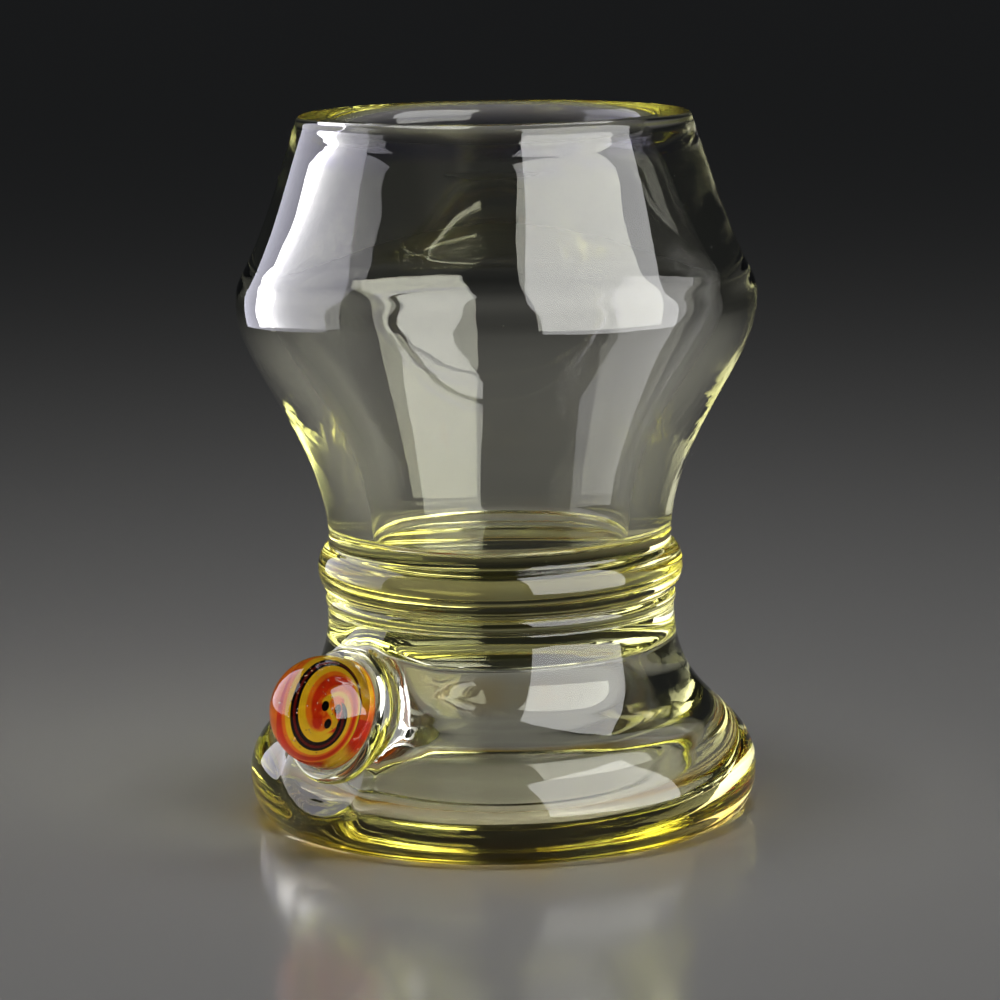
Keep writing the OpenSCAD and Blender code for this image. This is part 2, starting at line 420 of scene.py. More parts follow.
class Seeds:
    """Geometry Nodes tree that scatters seeds, the tiny bubbles in glass, under a surface."""

    DEPTH_SEED = 5
    SIZE_SEED = 9

    def __init__(self) -> None:
        """Builds the tree."""
        net = Net.group("glass_seeds", "GeometryNodeTree",
                        {"Surface": ("Geometry", None), "Density": ("Float", 1000.0),
                         "Nearest": ("Float", 0.0008), "Deepest": ("Float", 0.004),
                         "Smallest": ("Float", 0.00005), "Largest": ("Float", 0.0001),
                         "Seed": ("Int", 1), "Glass": ("Material", None)}, {"Seeds": "Geometry"})
        given = net.node("NodeGroupInput").outputs
        spread = net.node("GeometryNodeDistributePointsOnFaces",
                          {"Mesh": given["Surface"], "Density": given["Density"], "Seed": given["Seed"]})
        depth = net.node("FunctionNodeRandomValue", {2: given["Nearest"], 3: given["Deepest"],
                                                     "Seed": self.DEPTH_SEED}).outputs[1]
        under = net.scaled(spread.outputs["Normal"], net.math("MULTIPLY", depth, -1.0))
        sunk = net.first("GeometryNodeSetPosition", {"Geometry": spread.outputs["Points"], "Offset": under})
        size = net.node("FunctionNodeRandomValue", {2: given["Smallest"], 3: given["Largest"],
                                                    "Seed": self.SIZE_SEED}).outputs[1]
        bubble = net.first("GeometryNodeMeshIcoSphere", {"Radius": 1.0, "Subdivisions": 1})
        seeds = net.first("GeometryNodeInstanceOnPoints", {"Points": sunk, "Instance": bubble, "Scale": size})
        net.finish(seeds, given["Glass"])
        self.tree = net.tree

    def under(self, surface: Object, glass: Material, **values: float) -> Object:
        """Scatters seeds under a surface.

        Args:
            surface: The wall they lie behind.
            glass: Its glass.
            **values: Other inputs of the tree, by name with _ for a space.

        Returns:
            The seeds' walls, which face into them.
        """
        copy = added(surface.name + "_seeds", surface.data.copy())
        seeds = grown(copy, surface.name + "_seeds", self.tree, {"Glass": glass} | values)
        face_outwards(seeds.data, inwards=True)
        return seeds


def added(name: str, data: bpy.types.ID) -> Object:
    """Puts a new object into the scene.

    Args:
        name: Its name.
        data: Its mesh, light or camera.

    Returns:
        The object.
    """
    thing = bpy.data.objects.new(name, data)
    bpy.context.scene.collection.objects.link(thing)
    return thing


def grown(source: Object, name: str, tree: bpy.types.NodeTree, values: dict[str, object]) -> Object:
    """Runs a geometry tree on an object and keeps its plain result.

    Args:
        source: The object, which is removed.
        name: Name of the result.
        tree: The tree.
        values: The tree's inputs, by name with _ for a space.

    Returns:
        A plain mesh object.
    """
    modifier = source.modifiers.new(name, "NODES")
    modifier.node_group = tree
    wanted = {key.replace("_", " "): value for key, value in values.items()}
    for item in tree.interface.items_tree:
        if item.in_out == "INPUT" and item.name in wanted:
            modifier[item.identifier] = wanted[item.name]
    return plain(source, name)


def plain(source: Object, name: str) -> Object:
    """Turns an object with live modifiers into a plain mesh object.

    Args:
        source: The object, which is removed.
        name: Name of the new object.

    Returns:
        The plain object.
    """
    bpy.context.view_layer.update()
    graph = bpy.context.evaluated_depsgraph_get()
    mesh = bpy.data.meshes.new_from_object(source.evaluated_get(graph), depsgraph=graph)
    mesh.name = name
    bpy.data.objects.remove(source)
    face_outwards(mesh)
    return added(name, mesh)


def face_outwards(mesh: bpy.types.Mesh, inwards: bool = False) -> None:
    """Welds a mesh and turns its faces.

    Args:
        mesh: The mesh.
        inwards: Turn them inwards, for the wall of a bubble or a hollow.
    """
    work = bmesh.new()
    work.from_mesh(mesh)
    bmesh.ops.remove_doubles(work, verts=work.verts, dist=WELD)
    bmesh.ops.recalc_face_normals(work, faces=work.faces)
    if inwards:
        bmesh.ops.reverse_faces(work, faces=work.faces)
    work.to_mesh(mesh)
    work.free()


def joined(name: str, pieces: list[Object]) -> Object:
    """Puts several meshes into one object.

    Args:
        name: The object's name.
        pieces: Objects to join, the first of which gives its materials.

    Returns:
        The joined object.
    """
    work = bmesh.new()
    for piece in pieces:
        work.from_mesh(piece.data)
    mesh = bpy.data.meshes.new(name)
    work.to_mesh(mesh)
    work.free()
    for material in pieces[0].data.materials:
        mesh.materials.append(material)
    for piece in pieces:
        bpy.data.objects.remove(piece)
    return added(name, mesh)


def fused(name: str, body: Object, extra: Object) -> Object:
    """Fuses one closed mesh to another.

    Args:
        name: Name of the result.
        body: The larger mesh.
        extra: What is fused to it.

    Returns:
        One closed mesh object.
    """
    union = body.modifiers.new("fused", "BOOLEAN")
    union.operation = "UNION"
    union.solver = "EXACT"
    union.object = extra
    whole = plain(body, name)
    bpy.data.objects.remove(extra)
    return whole


@dataclass(frozen=True)
class Flush:
    """A band in which the metal fume has coloured the glass, in millimetres."""

    tint: Colour
    level: float
    spread: float
    strength: float
    inner: float
    outer: float


@dataclass
class GlassEffects:
    """Shader node groups that the glasses share."""

    cloud_scale: float = 90.0
    cloud_step: Pair = (0.2, 0.62)
    detail: float = 2.0
    flush: bpy.types.NodeTree = field(init=False)
    ripple: bpy.types.NodeTree = field(init=False)

    def __post_init__(self) -> None:
        """Builds the groups."""
        self.flush = self._flush()
        self.ripple = self._ripple()

    def _flush(self) -> bpy.types.NodeTree:
        """Builds the group that tints a level band outside a radius.

        Returns:
            The group.
        """
        inputs = {"Under": ("Color", (*WHITE, 1)), "Tint": ("Color", (*WHITE, 1))}
        inputs |= {name: ("Float", 0.01) for name in ("Level", "Spread", "Strength", "Inner", "Outer")}
        net = Net.group("fume_flush", "ShaderNodeTree", inputs, {"Colour": "Color"})
        given = net.node("NodeGroupInput").outputs
        place = net.node("ShaderNodeTexCoord").outputs["Object"]
        height = net.node("ShaderNodeSeparateXYZ", {0: place}).outputs["Z"]
        radius = net.flat_length(place)
        cloud = net.eased(net.noise(place, self.cloud_scale, self.detail), *self.cloud_step)
        away = net.math("ABSOLUTE", net.math("SUBTRACT", height, given["Level"]))
        band = net.less(net.eased(away, 0.0, given["Spread"]))
        mask = net.math("MULTIPLY", band, net.eased(radius, given["Inner"], given["Outer"]))
        mask = net.math("MULTIPLY", net.math("MULTIPLY", mask, given["Strength"]), cloud)
        net.node("NodeGroupOutput", {0: net.mixed(mask, given["Under"], given["Tint"])})
        return net.tree

    def _ripple(self) -> bpy.types.NodeTree:
        """Builds the group that puts out the height of fine ripples.

        Returns:
            The group.
        """
        net = Net.group("flame_ripple", "ShaderNodeTree",
                        {"Scale": ("Float", 150.0), "Stretch": ("Float", 0.35)}, {"Height": "Float"})
        given = net.node("NodeGroupInput").outputs
        place = net.node("ShaderNodeTexCoord").outputs["Object"]
        squash = net.first("ShaderNodeCombineXYZ", {0: 1.0, 1: 1.0, 2: given["Stretch"]})
        coarse = net.noise(net.vector("MULTIPLY", place, squash), given["Scale"], self.detail)
        net.node("NodeGroupOutput", {0: coarse})
        return net.tree


@dataclass(frozen=True)
class ClearGlass:
    """Heavy clear glass with a yellow tint that deepens with its thickness."""

    name: str = "clear_heavy_glass"
    ior: float = 1.47
    tint: Colour = (0.97, 0.965, 0.3)
    density: float = 17.0
    ripple_scale: float = 170.0
    ripple_stretch: float = 0.35
    ripple_depth: float = 0.00002
    flushes: tuple[Flush, ...] = ()

    def make(self, effects: GlassEffects) -> Material:
        """Makes the material.

        Args:
            effects: The shared node groups.

        Returns:
            The material.
        """
        material = bpy.data.materials.new(self.name)
        material.use_nodes = True
        net = Net(material.node_tree)
        glass = net.tree.nodes["Principled BSDF"]
        glass.inputs["Transmission Weight"].default_value = 1
        glass.inputs["Roughness"].default_value = 0
        glass.inputs["IOR"].default_value = self.ior
        colour: object = (*WHITE, 1)
        for band in self.flushes:
            colour = net.first("ShaderNodeGroup",
                               {"Under": colour, "Tint": (*band.tint, 1), "Level": band.level * MM,
                                "Spread": band.spread * MM, "Strength": band.strength,
                                "Inner": band.inner * MM, "Outer": band.outer * MM},
                               node_tree=effects.flush)
        if self.flushes:
            net.tree.links.new(colour, glass.inputs["Base Color"])
        ripple = net.first("ShaderNodeGroup", {"Scale": self.ripple_scale, "Stretch": self.ripple_stretch},
                           node_tree=effects.ripple)
        bump = net.first("ShaderNodeBump", {"Height": ripple, "Distance": self.ripple_depth, "Strength": 1.0})
        net.tree.links.new(bump, glass.inputs["Normal"])
        depth = net.node("ShaderNodeVolumeAbsorption")
        depth.inputs["Color"].default_value = (*self.tint, 1)
        depth.inputs["Density"].default_value = self.density
        net.tree.links.new(depth.outputs[0], net.tree.nodes["Material Output"].inputs["Volume"])
        return material


@dataclass
class Vessel:
    """The clear body: bowl, rolled ring, bead, bell foot and its disc, in millimetres.

    A lead is how far a curve runs on past its end before it turns.
    """

    BAND_LEAD = 0.19

    walls: TurnedWall
    glass: Material
    rim_radius: float = 33.6
    rim_width: float = 6.7
    rim_round: float = 1.2
    rim_slope: float = 0.35
    lip_round: float = 2.4
    lip_height: float = 4.8
    wall: float = 5.6
    waist_wall: float = 7.3
    belly: float = 41.3
    belly_leads: Pair = (18.5, 10.7)
    belly_inner_lead: float = 9.0
    shoulder_turn: float = 5.0
    shoulder_drop: float = 1.1
    shoulder_lead: float = 2.5
    crown_lead: Pair = (0.87, 1.67)
    upper_lead: float = 0.35
    upper_slope: float = 0.52
    ring_bulge: float = 2.0
    bead_bulge: float = 0.8
    edge_level: float = 7.3
    stand_radius: float = 40.0
    flare_leads: Pair = (11.0, 18.5)
    floor_thickness: float = 9.4
    floor_dish: float = 1.5
    floor_round: float = 2.0
    floor_lead: Pair = (1.2, 19.0)
    disc_radius: float = 29.0
    hollow_widest: float = 36.0
    hollow_rise: float = 4.0
    hollow_leads: Pair = (10.0, 13.5)
    neck_wall: float = 5.8
    crown: float = 1.0
    crown_rise: float = 6.0
    crown_sag: float = 2.0
    crown_shares: Pair = (0.9, 0.5)
    seam: float = 0.45
    seam_width: float = 1.2
    segments: int = 192
    levels: dict[str, float] = field(default_factory=dict)

    def __post_init__(self) -> None:
        """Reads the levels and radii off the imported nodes."""
        low, high = {}, {}
        for node in ("bowl", "waist_ring", "neck_bead", "foot_bell", "foot_disc"):
            a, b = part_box(node)
            low[node], high[node] = a / MM, b / MM
        self.levels = {
            "top": high["bowl"].z,
            "shoulder_r": high["bowl"].x,
            "bead": low["neck_bead"].z,
            "ring": low["waist_ring"].z,
            "waist": high["waist_ring"].z,
            "waist_r": high["waist_ring"].x - self.ring_bulge,
            "neck_r": high["neck_bead"].x - self.bead_bulge / 2,
            "foot_r": high["foot_bell"].x,
            "disc": high["foot_disc"].z,
        }

    def outside(self) -> list[Pair]:
        """Draws the whole outline of the body.

        Returns:
            Its points, from the middle of the base up to the rim, then down to the bowl's floor.
        """
        at, edge, stand = self.levels, self.edge_level, self.stand_radius
        waist_r, neck_r, foot_r, shoulder_r = at["waist_r"], at["neck_r"], at["foot_r"], at["shoulder_r"]
        waist, bead, rim_r, rim_z = at["waist"], at["bead"], self.rim_radius, at["top"] - self.rim_round
        shoulder = waist + self.belly
        crown_z, crown_r = shoulder + self.shoulder_turn, shoulder_r - self.shoulder_drop
        run = (at["top"] - crown_z) * self.upper_lead
        foot = [(0, 0), (stand, 0)]
        foot += cubic((stand, 0), ((foot_r + stand) / 2, 0), (foot_r, edge / 2), (foot_r, edge))
        foot += cubic((foot_r, edge), (foot_r, edge + self.flare_leads[0]),
                      (neck_r, bead - self.flare_leads[1]), (neck_r, bead), 40)
        bands = self.band(bead, at["ring"], neck_r - self.bead_bulge / 2, self.bead_bulge)
        bands += self.band(at["ring"], waist, waist_r, self.ring_bulge)
        bowl = cubic((waist_r, waist), (waist_r, waist + self.belly_leads[0]),
                     (shoulder_r, shoulder - self.belly_leads[1]), (shoulder_r, shoulder), 40)
        bowl += cubic((shoulder_r, shoulder), (shoulder_r, shoulder + self.shoulder_lead),
                      (crown_r + self.crown_lead[0], crown_z - self.crown_lead[1]), (crown_r, crown_z), 10)
        bowl += cubic((crown_r, crown_z), (crown_r - self.upper_slope * run, crown_z + run),
                      (rim_r + self.rim_slope * run, rim_z - run), (rim_r, rim_z))
        bowl += arc((rim_r - self.rim_round, rim_z), self.rim_round, 0, 90)
        return foot + bands + bowl + self.inside(shoulder, crown_z, crown_r - self.wall, run)

    def inside(self, shoulder: float, crown_z: float, crown_r: float, run: float) -> list[Pair]:
        """Draws the bowl's inside, from the rolled lip to the middle of its floor.

        Args:
            shoulder: Level of the shoulder.
            crown_z: Level where the shoulder's turn ends.
            crown_r: Inner radius there.
            run: Lead of the outer curve above it.

        Returns:
            The points in order.
        """
        at, slope, bend = self.levels, self.rim_slope, self.floor_round
        lip_r, lip_z = self.rim_radius - self.rim_width, at["top"] - self.lip_round
        rim_r, shoulder_r = self.rim_radius - self.wall, at["shoulder_r"] - self.wall
        waist_r, floor = at["waist_r"] - self.waist_wall, at["ring"] + self.floor_thickness
        under_lip = (rim_r + slope * self.lip_height, at["top"] - 2 * self.lip_height)
        points = arc((lip_r + self.lip_round, lip_z), self.lip_round, 90, 180)
        points += cubic((lip_r, lip_z), (lip_r, at["top"] - self.lip_height),
                        (rim_r, at["top"] - self.lip_height), under_lip, 12)
        points += cubic(under_lip, (under_lip[0] + slope * run / 2, under_lip[1] - run / 2),
                        (crown_r - self.upper_slope / 2 * run, crown_z + run / 2), (crown_r, crown_z))
        points += cubic((crown_r, crown_z), (shoulder_r, crown_z - self.shoulder_lead),
                        (shoulder_r, shoulder + self.crown_lead[1]), (shoulder_r, shoulder), 10)
        points += cubic((shoulder_r, shoulder), (shoulder_r, shoulder - self.belly_inner_lead),
                        (waist_r + self.floor_lead[0], floor + self.floor_lead[1]),
                        (waist_r, floor + bend), 40)
        points += arc((waist_r - bend, floor + bend), bend, 0, -90)
        dish = floor - self.floor_dish
        points += cubic((waist_r - bend, floor), (waist_r / 2, dish), (waist_r / 3, dish), (0, dish))
        return points

    @staticmethod
    def band(low: float, high: float, root: float, bulge: float) -> list[Pair]:
        """Draws the outline of a wrapped band, whose lead of 4/3 brings its middle out to the bulge.

        Args:
            low: Its lower level.
            high: Its upper level.
            root: Radius at both.
            bulge: How far it stands out.

        Returns:
            The points from the lower root to the upper one.
        """
        rise, reach = (high - low) * Vessel.BAND_LEAD, root + bulge * 4 / 3
        return [(root, low)] + cubic((root, low), (reach, low + rise), (reach, high - rise), (root, high), 20)

    def hollow(self) -> list[Pair]:
        """Draws the outline of the sealed hollow in the foot.

        Returns:
            Its points, from the middle of its floor to its crown.
        """
        disc, wide, seam_r, width = self.levels["disc"], self.hollow_widest, self.disc_radius, self.seam_width
        top, neck_r = self.levels["bead"] - self.crown, self.levels["neck_r"] - self.neck_wall
        neck, shelf, peak = top - self.crown_rise, disc + self.hollow_rise, top - self.crown_sag
        points = [(0, disc), (seam_r - width, disc), (seam_r, disc + self.seam), (seam_r + width, disc)]
        points += cubic((seam_r + width, disc), ((seam_r + wide) / 2, disc),
                        (wide, (disc + shelf) / 2), (wide, shelf), 10)
        points += cubic((wide, shelf), (wide, shelf + self.hollow_leads[0]),
                        (neck_r, neck - self.hollow_leads[1]), (neck_r, neck), 40)
        points += cubic((neck_r, neck), (neck_r * self.crown_shares[0], top - 2 * self.crown_sag),
                        (neck_r * self.crown_shares[1], peak), (0, peak))
        return points

    def shell(self) -> Object:
        """Makes the outer wall as one closed surface.

        Returns:
            The wall.
        """
        outline = thinned(softened(self.outside(), step=0.12, reach=3), turn=2.5, longest=2.6)
        LOG.info("vessel outline: %d points", len(outline))
        return self.walls.make("vessel_shell", outline, self.glass, Segments=self.segments,
                               Waviness=0.00012, Wave_scale=38.0)

    def cavity(self) -> Object:
        """Makes the wall of the sealed hollow.

        Returns:
            The wall, which faces into the hollow.
        """
        outline = thinned(JackRings().on(softened(self.hollow(), step=0.2, reach=4)), turn=3, longest=1.2)
        piece = self.walls.make("vessel_hollow", outline, self.glass, Segments=144,
                                Waviness=0.0002, Wave_scale=60.0)
        face_outwards(piece.data, inwards=True)
        return piece


@dataclass
class SwirlButton:
    """The clear dome over the swirl, and the setting that joins it to the foot, in millimetres."""

    walls: TurnedWall
    seeds: Seeds
    glass: Material
    tilt: float = 22.0
    turn: float = 225.0
    dome_radius: float = 9.3
    cut: float = 0.8
    back: float = 2.6
    backing_half: float = 0.4
    skirt: float = 9.36
    setting_radius: float = 11.6
    ridge_drop: float = 1.2
    neck_radius: float = 9.8
    neck_leads: tuple[float, float, float] = (1.2, 3.3, 4.5)
    lip: float = 0.9
    lip_dip: float = 0.2
    lip_round: Pair = (0.5, 0.4)
    depth: float = 11.0
    fillet: float = 2.6
    fillet_start: float = 0.6
    fillet_reach: float = 5.5
    fillet_run: float = 1.5
    fillet_gap: float = 1.0
    least_facing: float = 0.1
    seam_gap: float = 1.4
    seam_band: Pair = (1.0, 5.0)
    seam_rounds: int = 22
    frame: Matrix = field(default_factory=Matrix)

    def __post_init__(self) -> None:
        """Finds the button's own frame: origin in the dome's middle, +Z outwards, +X down the foot."""
        low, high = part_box("swirl_backing")
        out = Vector((math.cos(math.radians(self.turn)), math.sin(math.radians(self.turn)), 0))
        axis = out * math.cos(math.radians(self.tilt)) + Vector((0, 0, math.sin(math.radians(self.tilt))))
        centre = (low + high) / 2 + axis * (self.back - self.backing_half) * MM
        side = Vector((0, 0, 1)).cross(out).normalized()
        down = side.cross(axis).normalized()
        self.frame = Matrix.Translation(centre) @ Matrix((down, side, axis)).transposed().to_4x4()
        LOG.info("button middle at %s", [round(c / MM, 2) for c in centre])

    def outline(self) -> list[Pair]:
        """Draws the outline of the dome and the setting.

        Returns:
            Its points, from the tip of the dome to the middle of the buried end.
        """
        skirt, neck_r, ridge_r = self.skirt, self.neck_radius, self.setting_radius
        edge, valley = -self.back - self.ridge_drop, -self.back + self.lip - self.lip_dip
        lip_r, lip_z = skirt + self.lip_round[0], valley + self.lip_round[1]
        leave, arrive, end = (edge - drop for drop in self.neck_leads)
        points = [(0, self.dome_radius)]
        points += arc((0, 0), self.dome_radius, start=90, stop=2, count=30)
        points += [(skirt, -self.cut), (skirt, valley)]
        points += cubic((skirt, valley), (lip_r, lip_z), (ridge_r, lip_z), (ridge_r, edge), 14)
        points += cubic((ridge_r, edge), (ridge_r, leave), (neck_r, arrive), (neck_r, end), 14)
        points += [(neck_r, -self.depth), (0, -self.depth)]
        return points

    def draw_out(self, wall: Object) -> None:
        """Draws the foot's wall out round the setting, as a soft fillet that runs on down the foot.

        Args:
            wall: The foot's wall.
        """
        back = self.frame.inverted()
        axis = self.frame.to_3x3() @ Vector((0, 0, 1))
        ceiling = -self.back - self.fillet_gap
        facing = [normal.vector.dot(axis) > self.least_facing for normal in wall.data.vertex_normals]
        for vertex, outwards in zip(wall.data.vertices, facing):
            at = (back @ vertex.co) / MM
            if at.z > 0 or at.z < -2 * self.depth or not outwards:
                continue
            away = math.hypot(at.x / self.fillet_run if at.x > 0 else at.x, at.y)
            near = 1 - min(max((away - self.neck_radius + self.fillet_start) / self.fillet_reach, 0), 1)
            rise = min(self.fillet * near * near, max(ceiling - at.z, 0))
            vertex.co += axis * rise * MM

    def ease_seam(self, body: Object) -> None:
        """Rounds the crease in which the setting meets the foot.

        Args:
            body: The fused glass.
        """
        back = self.frame.inverted()
        low, high = -self.depth - 1, -self.back - self.seam_gap
        inner, outer = self.neck_radius - self.seam_band[0], self.neck_radius + self.seam_band[1]
        work = bmesh.new()
        work.from_mesh(body.data)
        seam = []
        for vertex in work.verts:
            at = (back @ vertex.co) / MM
            if low < at.z < high and inner < math.hypot(at.x, at.y) < outer:
                seam.append(vertex)
        for _ in range(self.seam_rounds):
            bmesh.ops.smooth_vert(work, verts=seam, factor=0.5, use_axis_x=True, use_axis_y=True,
                                  use_axis_z=True)
        work.to_mesh(body.data)
        work.free()

    def cap(self) -> Object:
        """Makes the dome and the setting as one closed piece of glass.

        Returns:
            The piece in its place.
        """
        outline = thinned(softened(self.outline(), step=0.08, reach=3), turn=3, longest=1.2)
        piece = self.walls.make("button_glass", outline, self.glass, Segments=128)
        piece.data.transform(self.frame)
        return piece

    def bubbles(self) -> Object:
        """Makes the tiny bubbles that hang in the dome over the swirl.

        Returns:
            Their walls, in place.
        """
        outline = [(0, self.dome_radius)] + arc((0, 0), self.dome_radius, start=90, stop=14, count=12)
        skin = self.walls.make("button_skin", outline, self.glass, Segments=48)
        bubbles = self.seeds.under(skin, self.glass, Density=130000.0, Nearest=0.001, Deepest=0.0066,
                                   Smallest=0.00007, Largest=0.00015, Seed=4)
        bpy.data.objects.remove(skin)
        bubbles.data.transform(self.frame)
        return bubbles


@dataclass(frozen=True)
class Stripe:
    """One colour of the swirl, from its start to its stop round the heart, in degrees."""

    start: float
    stop: float
    colour: Colour
    blend: float


YELLOW: Colour = (0.78, 0.46, 0.015)
ORANGE: Colour = (0.8, 0.17, 0.01)
RED: Colour = (0.62, 0.03, 0.006)
MAROON: Colour = (0.13, 0.008, 0.005)
BLACK: Colour = (0.006, 0.004, 0.003)
SOOT: Colour = (0.25, 0.03, 0.01)
CREAM: Colour = (0.95, 0.85, 0.6)
STRIPES = (Stripe(0, 30, BLACK, 3), Stripe(30, 54, MAROON, 6), Stripe(54, 84, BLACK, 3),
           Stripe(84, 150, YELLOW, 16), Stripe(150, 192, ORANGE, 16), Stripe(192, 270, RED, 20),
           Stripe(270, 306, ORANGE, 14), Stripe(306, 360, YELLOW, 3))
RING = (Stripe(0, 40, RED, 14), Stripe(40, 75, YELLOW, 16), Stripe(75, 130, RED, 24),
        Stripe(130, 215, ORANGE, 22), Stripe(215, 300, YELLOW, 24), Stripe(300, 345, YELLOW, 16),
        Stripe(345, 360, ORANGE, 6))


@dataclass
class SwirlField:
    """Shader node group that knows where each point of the swirl lies, in millimetres and degrees."""

    frame: Matrix
    radius: float = 6.2
    wind: float = 375.0
    power: float = 2.5
    phase: float = -68.0
    cloud_scale: float = 0.55
    fleck_scale: float = 0.5
    fleck_edge: Pair = (0.06, 0.12)
    heart: float = 2.5
    heart_edge: Pair = (0.25, 0.1)
    heart_wander: float = 1.2
    dots: int = 3
    dot_radius: float = 0.56
    dot_ring: float = 1.22
    dot_edge: float = 0.05
    tree: bpy.types.NodeTree = field(init=False)

    def __post_init__(self) -> None:
        """Builds the group."""
        outputs = ("Wound turn", "Direction", "Heart", "Cloud", "Fleck", "Across", "Along", "Dot")
        net = Net.group("swirl_field", "ShaderNodeTree", {"Wander": ("Float", 3.0)},
                        dict.fromkeys(outputs, "Float"))
        given = net.node("NodeGroupInput").outputs
        place = net.node("ShaderNodeTexCoord").outputs["Object"]
        local = net.first("ShaderNodeMapping", {"Vector": place, "Location": self.frame.translation,
                                                "Rotation": self.frame.to_euler(), "Scale": (MM, MM, MM)},
                          vector_type="TEXTURE")
        x, y, _ = net.node("ShaderNodeSeparateXYZ", {0: local}).outputs
        radius = net.flat_length(local)
        direction = net.math("DEGREES", net.math("ARCTAN2", x, y))
        cloud = net.noise(local, self.cloud_scale, detail=3.0)
        wander = net.math("MULTIPLY", net.math("SUBTRACT", cloud, 0.5), given["Wander"])
        wind = net.math("POWER", net.math("DIVIDE", radius, self.radius), self.power)
        turn = net.math("MULTIPLY", wind, self.wind)
        loose = net.math("SUBTRACT", net.math("ADD", direction, wander), self.phase)
        wound = net.math("SUBTRACT", loose, turn)
        cells = net.node("ShaderNodeTexVoronoi",
                         {"Vector": local, "Scale": self.fleck_scale}).outputs["Distance"]
        fleck = net.less(net.eased(cells, *self.fleck_edge))
        torn = net.math("MULTIPLY", net.math("SUBTRACT", cloud, 0.5), self.heart_wander)
        ragged = net.math("ADD", radius, torn)
        heart = net.less(net.eased(ragged, self.heart - self.heart_edge[0], self.heart + self.heart_edge[1]))
        net.node("NodeGroupOutput", {0: net.math("FRACT", net.math("DIVIDE", wound, 360.0)),
                                     1: net.math("FRACT", net.math("DIVIDE", direction, 360.0)),
                                     2: heart, 3: cloud, 4: fleck, 5: x, 6: y,
                                     7: self.dotted(net, x, y, radius)})
        self.tree = net.tree

    def dotted(self, net: Net, x: Socket, y: Socket, radius: Socket) -> Socket:
        """Masks the round dots of the heart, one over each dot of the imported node.

        Args:
            net: The group's tree.
            x: Place across the swirl.
            y: Place along it.
            radius: Distance from the middle of the swirl.

        Returns:
            The mask.
        """
        back = self.frame.inverted()
        corners = [(back @ vertex.co) / MM for vertex in frame["nodes"]["swirl_dots"].data.vertices]
        farthest = max(corners, key=lambda at: math.hypot(at.x, at.y))
        share = math.tau / self.dots
        turn = net.math("SUBTRACT", net.math("ARCTAN2", y, x), math.atan2(farthest.y, farthest.x))
        nearest = net.math("MULTIPLY", net.math("ROUND", net.math("DIVIDE", turn, share)), share)
        folded = net.math("SUBTRACT", turn, nearest)
        aside = net.math("MULTIPLY", radius, net.math("SINE", folded))
        ahead = net.math("SUBTRACT", net.math("MULTIPLY", radius, net.math("COSINE", folded)), self.dot_ring)
        square = net.math("ADD", net.math("MULTIPLY", aside, aside), net.math("MULTIPLY", ahead, ahead))
        return net.less(net.eased(net.math("SQRT", square), self.dot_radius - self.dot_edge,
                                  self.dot_radius + self.dot_edge))


@dataclass(frozen=True)
class HeartCurl:
    """Colours of the heart: red blotches with a yellow curl through them, in millimetres."""

    waves: float = 1.5
    swing: float = 1.15
    edge: Pair = (0.3, 0.75)
    blotch: Pair = (0.42, 0.58)

    def colour(self, net: Net, at: bpy.types.bpy_prop_collection) -> Socket:
        """Colours the heart and its dots.

        Args:
            net: A material's tree.
            at: Outputs of the swirl field's node in it.

        Returns:
            The colour.
        """
        wave = net.math("SINE", net.math("MULTIPLY", at["Across"], self.waves))
        bend = net.math("MULTIPLY", wave, self.swing)
        away = net.math("ABSOLUTE", net.math("SUBTRACT", at["Along"], bend))
        curl = net.less(net.eased(away, *self.edge))
        blotch = net.mixed(net.eased(at["Cloud"], *self.blotch), (*RED, 1), (*ORANGE, 1))
        return net.mixed(at["Dot"], net.mixed(curl, blotch, (*YELLOW, 1)), (*BLACK, 1))


